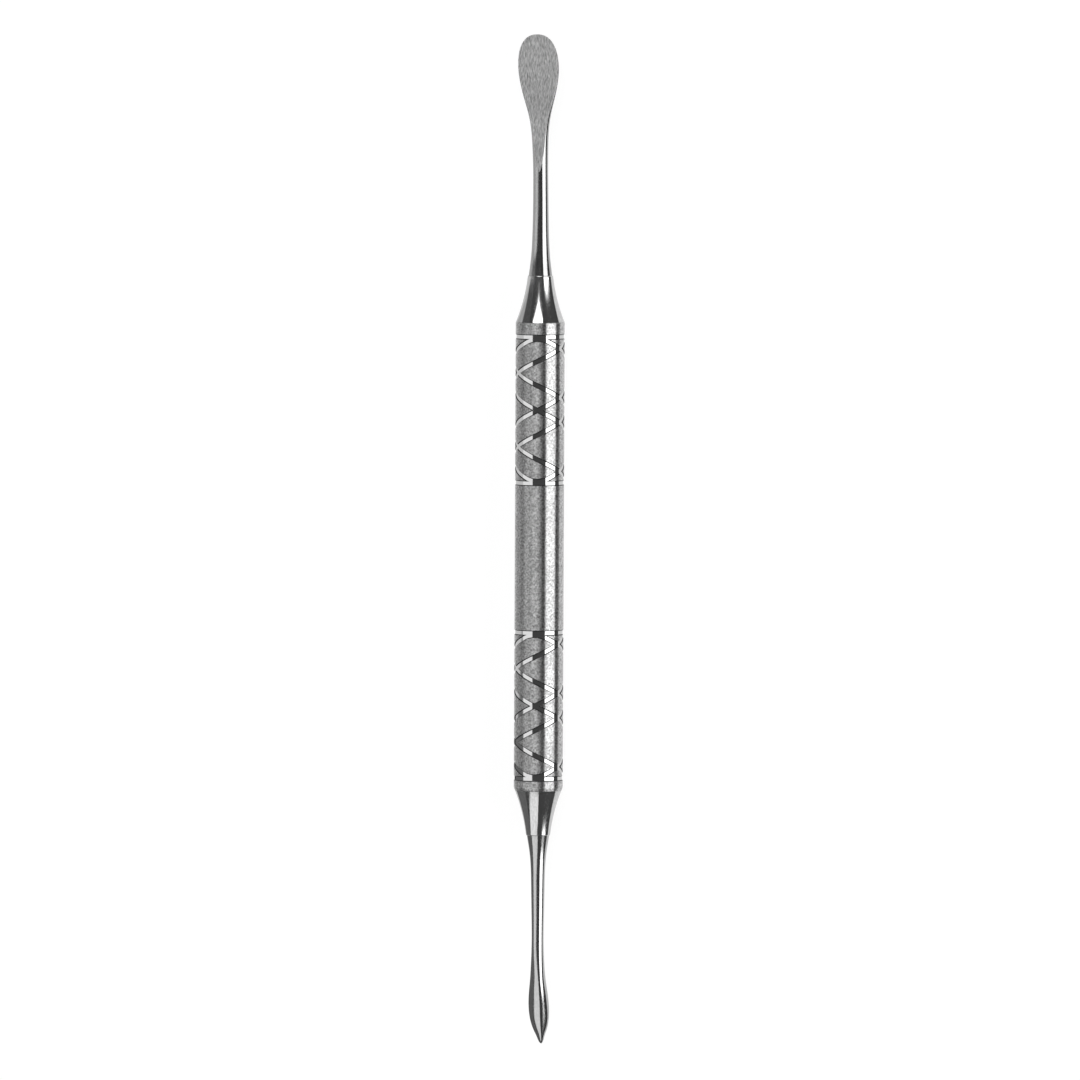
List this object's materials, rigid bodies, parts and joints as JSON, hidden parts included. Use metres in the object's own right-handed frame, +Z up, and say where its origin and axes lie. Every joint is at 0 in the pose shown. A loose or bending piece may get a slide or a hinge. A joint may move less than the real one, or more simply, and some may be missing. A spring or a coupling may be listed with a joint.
{
  "type": "cuticle pusher",
  "caption": "Double-ended steel cuticle pusher: round satin tube handle with turned cam grooves, polished end cones, a flat-ground round pusher blade and a pointed spear blade.",
  "frame": {"origin": "on the surface that the tool lies on, under the middle of its 165 mm length", "axes": "+X along the tool from the spear tip to the round pusher tip, +Z up and square to the pusher blade's ground face, +Y towards the side that the pusher tip leans to"},
  "size_m": [0.165, 0.008, 0.008],
  "materials": {
    "satin_tube": "fine bead-blasted satin with mirror-bright turned grooves",
    "polished_cone": "mirror-polished stainless steel",
    "pusher_steel": "mirror-polished shank and back, front face ground flat with fine lengthways lines",
    "spear_steel": "mirror-polished stainless steel with a flat-ground back"
  },
  "bodies": {
    "root": {"handle_tube": "satin_tube", "pusher_cone": "polished_cone", "spear_cone": "polished_cone", "pusher_blade": "pusher_steel", "spear_blade": "spear_steel"}
  },
  "joints": []
}
